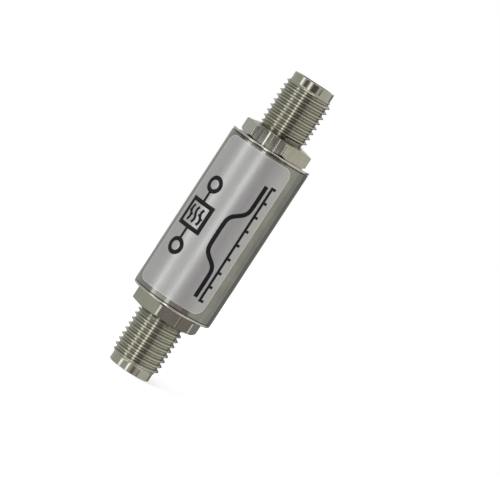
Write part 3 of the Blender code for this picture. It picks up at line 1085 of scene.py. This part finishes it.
def dress_inner_pieces():
    """The circuit inside the closed housing keeps its solids and gets its finishes."""
    finishes = {"filter_board": green_laminate, "ceramic_filter": fired_ceramic}
    for node in ("ground_plane", "left_ground_pour", "right_ground_pour", "upper_track", "lower_track"):
        finishes[node] = tinned_copper
    for end in ("upper", "lower"):
        finishes[end + "_capacitor"] = fired_ceramic
        finishes[end + "_inductor"] = ferrite
        finishes[end + "_contact_solder"] = bright_solder
        finishes[end + "_ground_solder"] = bright_solder
    for node, finish in finishes.items():
        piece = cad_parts[node]
        piece.data.materials.clear()
        piece.data.materials.append(finish)


# The studio

camera_elevation = radians(4.9)
camera_turn = radians(-1.5)
camera_distance = 371 * MM
camera_lens = 227.2
sensor_width = 36
axis_lean = radians(56.877)
aim_right, aim_down = 3.333 * MM, 2.72 * MM
plain_level = 0.8
floor_radius, floor_whiteness = 140 * MM, 0.42
key_power, key_place = 0.35, (-160 * MM, -170 * MM, 270 * MM)
wall_distance = 300 * MM
card_distance = 285 * MM


def photo_camera():
    """A long lens in front and a little above, rolled so that the filter leans to the upper right."""
    level_right = Vector((cos(camera_turn), sin(camera_turn), 0))
    reach_out = cos(camera_elevation)
    back = Vector((reach_out * sin(camera_turn), -reach_out * cos(camera_turn), sin(camera_elevation)))
    level_up = back.cross(level_right)
    right = cos(axis_lean) * level_up + sin(axis_lean) * level_right
    up = sin(axis_lean) * level_up - cos(axis_lean) * level_right
    aim = Vector((0, 0, object_middle)) + aim_right * right - aim_down * up
    lens = bpy.data.cameras.new("photo_camera")
    lens.lens = camera_lens
    lens.sensor_width = sensor_width
    lens.clip_start = 10 * MM
    lens.clip_end = 10
    camera = bpy.data.objects.new("photo_camera", lens)
    bpy.context.scene.collection.objects.link(camera)
    turned_view = Matrix((right, up, back)).transposed().to_4x4()
    camera.matrix_world = Matrix.Translation(aim + camera_distance * back) @ turned_view
    bpy.context.scene.camera = camera


def seen_directly(tree):
    """1 where the camera, gloss or glass sees a surface, and 0 where it lights something."""
    path = add_node(tree, "ShaderNodeLightPath").outputs
    seen = math(tree, "MAXIMUM", path["Is Camera Ray"], path["Is Glossy Ray"])
    return math(tree, "MAXIMUM", seen, path["Is Transmission Ray"])


def white_background():
    """A world that is white to the eye and in gloss, and lights the filter at a plain level."""
    world = bpy.data.worlds.new("plain studio")
    bpy.context.scene.world = world
    world.use_nodes = True
    tree = world.node_tree
    background = tree.nodes["Background"]
    background.inputs["Color"].default_value = (1, 1, 1, 1)
    link(tree, between(tree, seen_directly(tree), plain_level, 1.0), background, "Strength")


def pale_floor():
    """A small round floor, white to the eye but for the filter's own soft shadow."""
    bpy.ops.mesh.primitive_circle_add(vertices=96, radius=floor_radius, fill_type="NGON", location=(0, 0, 0))
    floor = named("floor")
    finish, tree, shader = new_finish(
        "pale floor", 0.0, Base_Color=(0.8, 0.8, 0.8, 1), Roughness=0.9, Emission_Color=(1, 1, 1, 1)
    )
    link(tree, math(tree, "MULTIPLY", seen_directly(tree), floor_whiteness), shader, "Emission Strength")
    floor.data.materials.append(finish)
    floor.visible_glossy = False


def card(name, start, end, low, high, distance, light, tint):
    """A curved card round the filter, between two azimuths and two elevations, that only gloss sees."""
    height_step, turn_step = radians(6), radians(4)
    bends = max(2, ceil((high - low) / height_step))
    steps = max(2, ceil((end - start) / turn_step))
    centre = Vector((0, 0, object_middle))
    line = []
    for number in range(bends + 1):
        height = low + (high - low) * number / bends
        way = Vector((cos(height) * sin(start), -cos(height) * cos(start), sin(height)))
        line.append(centre + distance * way)
    panel = drawn_line(name, line)
    open_mesh()
    bpy.ops.mesh.spin(steps=steps, angle=start - end, center=(0, 0, 0), axis=(0, 0, 1))
    close_mesh()
    finish = bpy.data.materials.new(name)
    finish.use_nodes = True
    tree = finish.node_tree
    tree.nodes.clear()
    colour = (*(light * part for part in tint), 1)
    emission = add_node(tree, "ShaderNodeEmission", {"Color": colour, "Strength": 1.0})
    add_node(tree, "ShaderNodeOutputMaterial", {"Surface": emission.outputs[0]})
    panel.data.materials.append(finish)
    panel.visible_camera = panel.visible_diffuse = panel.visible_shadow = False


NEUTRAL, WARM, COOL = (1, 1, 1), (1.02, 1, 0.95), (0.94, 1, 1.17)
BROWN, MAUVE, GREENISH = (1.22, 1, 0.84), (1.13, 1, 1.03), (0.985, 1.015, 0.965)
LILAC = (1.0, 0.9, 1.4)

# Cards by azimuth from the front towards +X, each with its elevations in degrees, its light and its tint
walls = {
    "left_dome": (-180, -60, 28, 88, 0.42, NEUTRAL),
    "front_left_dome": (-60, -5, 28, 88, 0.52, NEUTRAL),
    "front_dome": (-5, 38, 28, 88, 0.30, MAUVE),
    "right_dome": (38, 180, 28, 88, 0.55, NEUTRAL),
    "left_rear_wall": (-180, -125, -28, 28, 0.45, NEUTRAL),
    "left_wall": (-125, -40, -28, 28, 0.40, GREENISH),
    "front_wall": (-40, 24, -28, 28, 0.36, NEUTRAL),
    "front_right_wall": (24, 48, -28, 28, 0.44, NEUTRAL),
    "right_wall": (48, 180, -28, 28, 0.52, WARM),
    "left_floor": (-180, -5, -58, -28, 0.42, NEUTRAL),
    "front_floor": (-5, 38, -58, -28, 0.26, MAUVE),
    "right_floor": (38, 180, -58, -28, 0.55, NEUTRAL),
    "lower_dome": (38, 355, -88, -58, 0.75, NEUTRAL),
    "front_lower_dome": (-5, 38, -88, -58, 0.42, NEUTRAL),
}
cards = {
    "left_strip": (-68, -55, -6.5, 50, 1.25, NEUTRAL),
    "low_left_strip": (-65.5, -52.5, -70, -6.5, 1.25, NEUTRAL),
    "zenith_card": (38, 355, 74, 88, 1.0, NEUTRAL),
    "front_zenith_card": (-5, 38, 74, 88, 0.35, NEUTRAL),
    "narrow_flag": (-46, -28, 0.4, 17, 0.10, NEUTRAL),
    "body_narrow_flag": (-46, -28, -6.5, -2.4, 0.56, NEUTRAL),
    "facet_flag": (-46, -22.5, -1.05, 0.4, 0.09, COOL),
    "upper_band_card": (-50, -28, -2.4, -1.05, 0.95, NEUTRAL),
    "left_body_card": (-125, -84, -7.5, -2.5, 0.33, GREENISH),
    "low_left_card": (-52, -31, -9.6, -6.8, 0.85, NEUTRAL),
    "front_strip": (-19.5, -9.7, -70, 45, 1.45, NEUTRAL),
    "wide_flag": (-2, 29, -1.05, 17, 0.08, BROWN),
    "upper_band_flag": (-2, 28, -2.4, -1.05, 0.56, MAUVE),
    "body_wide_flag": (-2, 28, -7, -2.4, 0.06, LILAC),
    "low_wide_flag": (-2, 28, -10, -7, 0.48, MAUVE),
    "low_flag": (8.5, 26, -22, -10, 0.13, BROWN),
    "hexagon_flag": (28, 44.5, -10.9, -6.6, 0.17, MAUVE),
    "thin_flag": (47.2, 52.2, -1.05, 17, 0.05, BROWN),
    "band_thin_flag": (44.5, 48.5, -10, -6.6, 0.08, BROWN),
    "low_thin_flag": (47.2, 52.2, -16, -10, 0.05, BROWN),
    "left_corner_glint": (-31, -20, -10.4, -8.9, 1.3, NEUTRAL),
    "right_corner_glint": (91, 101, -10.4, -8.9, 0.8, NEUTRAL),
    "left_corner_flag": (-98, -78, -2.4, 0.4, 0.05, NEUTRAL),
    "right_corner_flag": (29, 38, -2.4, 0.4, 0.04, BROWN),
    "right_rear_flag": (130, 172, -60, 20, 0.20, NEUTRAL),
    "body_flag": (110, 130, -12, -5.5, 0.45, NEUTRAL),
    "upper_body_flag": (107, 130, -5.5, 0.3, 0.39, NEUTRAL),
    "high_label_flag": (-2, 24, 17, 28, 0.10, LILAC),
    "deep_label_flag": (-2, 24, -28, -22, 0.10, LILAC),
    "rear_card": (172, 188, -8, 12, 1.1, NEUTRAL),
}


def reflected_surroundings():
    """Walls and cards that the polished metal shows."""
    for distance, group in ((wall_distance, walls), (card_distance, cards)):
        for name, (start, end, low, high, light, tint) in group.items():
            card(name, radians(start), radians(end), radians(low), radians(high), distance, light, tint)


def soft_lamp():
    """A broad key light from above on the left."""
    key = bpy.data.lights.new("key_softbox", "AREA")
    key.shape = "RECTANGLE"
    key.size, key.size_y = 180 * MM, 120 * MM
    key.energy = key_power
    lamp = bpy.data.objects.new("key_softbox", key)
    bpy.context.scene.collection.objects.link(lamp)
    lamp.location = key_place
    towards_filter = Vector((0, 0, object_middle)) - Vector(key_place)
    lamp.rotation_euler = towards_filter.to_track_quat("-Z", "Y").to_euler()


bpy.context.scene.view_settings.view_transform = "Standard"
photo_camera()
for end in ("upper", "lower"):
    connector_shell(end)
    end_cap(end)
    insulator(end)
    slotted_contact(end)
housing()
label_sheet()
printed_marks()
dress_inner_pieces()
white_background()
pale_floor()
reflected_surroundings()
soft_lamp()
